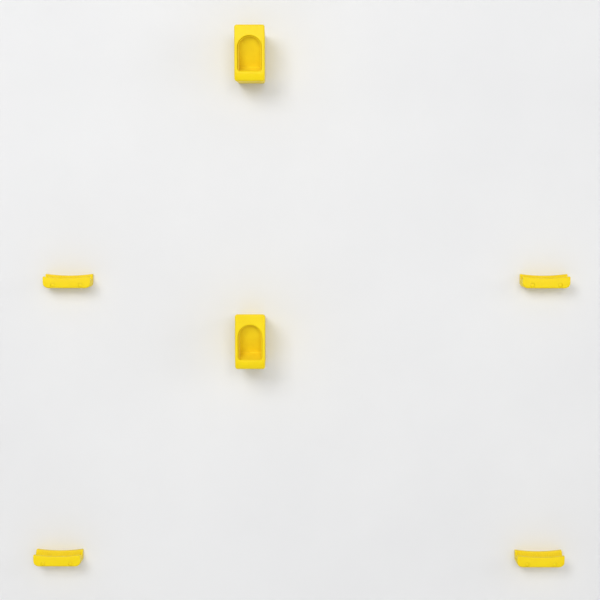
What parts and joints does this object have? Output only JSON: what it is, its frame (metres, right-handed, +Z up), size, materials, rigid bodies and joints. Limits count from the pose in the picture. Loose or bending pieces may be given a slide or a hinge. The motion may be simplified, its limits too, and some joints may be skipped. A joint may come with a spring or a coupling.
{
  "type": "bicycle wall rack",
  "caption": "Wall rack for two road bikes, one above the other: arched holders that each take a pedal, and cradles under the wheels.",
  "frame": {"origin": "middle of the lower pedal holder's back, on the wall plane", "axes": "+Y into the wall, so the rack stands out towards -Y; +Z up; +X to the right, seen from the front"},
  "size_m": [1.131, 0.1484, 1.131],
  "materials": {
    "yellow_plastic": "fine satin moulded texture, bright yellow",
    "yellow_rubber": "matte, soft, a slightly deeper yellow",
    "zinc_plated_steel": "bright zinc plating",
    "grey_nylon": "matte moulded nylon"
  },
  "bodies": {
    "root": {"lower_pedal_holder_shell": "yellow_plastic", "lower_pedal_holder_liner": "yellow_rubber", "lower_pedal_holder_top_screw": "zinc_plated_steel", "lower_pedal_holder_top_washer": "zinc_plated_steel", "lower_pedal_holder_top_wall_plug": "grey_nylon", "lower_pedal_holder_left_screw": "zinc_plated_steel", "lower_pedal_holder_left_washer": "zinc_plated_steel", "lower_pedal_holder_left_wall_plug": "grey_nylon", "lower_pedal_holder_right_screw": "zinc_plated_steel", "lower_pedal_holder_right_washer": "zinc_plated_steel", "lower_pedal_holder_right_wall_plug": "grey_nylon", "upper_pedal_holder_shell": "yellow_plastic", "upper_pedal_holder_liner": "yellow_rubber", "upper_pedal_holder_top_screw": "zinc_plated_steel", "upper_pedal_holder_top_washer": "zinc_plated_steel", "upper_pedal_holder_top_wall_plug": "grey_nylon", "upper_pedal_holder_left_screw": "zinc_plated_steel", "upper_pedal_holder_left_washer": "zinc_plated_steel", "upper_pedal_holder_left_wall_plug": "grey_nylon", "upper_pedal_holder_right_screw": "zinc_plated_steel", "upper_pedal_holder_right_washer": "zinc_plated_steel", "upper_pedal_holder_right_wall_plug": "grey_nylon", "lower_rear_rest_body": "yellow_plastic", "lower_rear_rest_tread_pad": "yellow_rubber", "lower_rear_rest_left_screw": "zinc_plated_steel", "lower_rear_rest_left_wall_plug": "grey_nylon", "lower_rear_rest_left_cap": "yellow_plastic", "lower_rear_rest_right_screw": "zinc_plated_steel", "lower_rear_rest_right_wall_plug": "grey_nylon", "lower_rear_rest_right_cap": "yellow_plastic", "lower_front_rest_body": "yellow_plastic", "lower_front_rest_tread_pad": "yellow_rubber", "lower_front_rest_left_screw": "zinc_plated_steel", "lower_front_rest_left_wall_plug": "grey_nylon", "lower_front_rest_left_cap": "yellow_plastic", "lower_front_rest_right_screw": "zinc_plated_steel", "lower_front_rest_right_wall_plug": "grey_nylon", "lower_front_rest_right_cap": "yellow_plastic", "upper_rear_rest_body": "yellow_plastic", "upper_rear_rest_tread_pad": "yellow_rubber", "upper_rear_rest_left_screw": "zinc_plated_steel", "upper_rear_rest_left_wall_plug": "grey_nylon", "upper_rear_rest_left_cap": "yellow_plastic", "upper_rear_rest_right_screw": "zinc_plated_steel", "upper_rear_rest_right_wall_plug": "grey_nylon", "upper_rear_rest_right_cap": "yellow_plastic", "upper_front_rest_body": "yellow_plastic", "upper_front_rest_tread_pad": "yellow_rubber", "upper_front_rest_left_screw": "zinc_plated_steel", "upper_front_rest_left_wall_plug": "grey_nylon", "upper_front_rest_left_cap": "yellow_plastic", "upper_front_rest_right_screw": "zinc_plated_steel", "upper_front_rest_right_wall_plug": "grey_nylon", "upper_front_rest_right_cap": "yellow_plastic"}
  },
  "joints": []
}
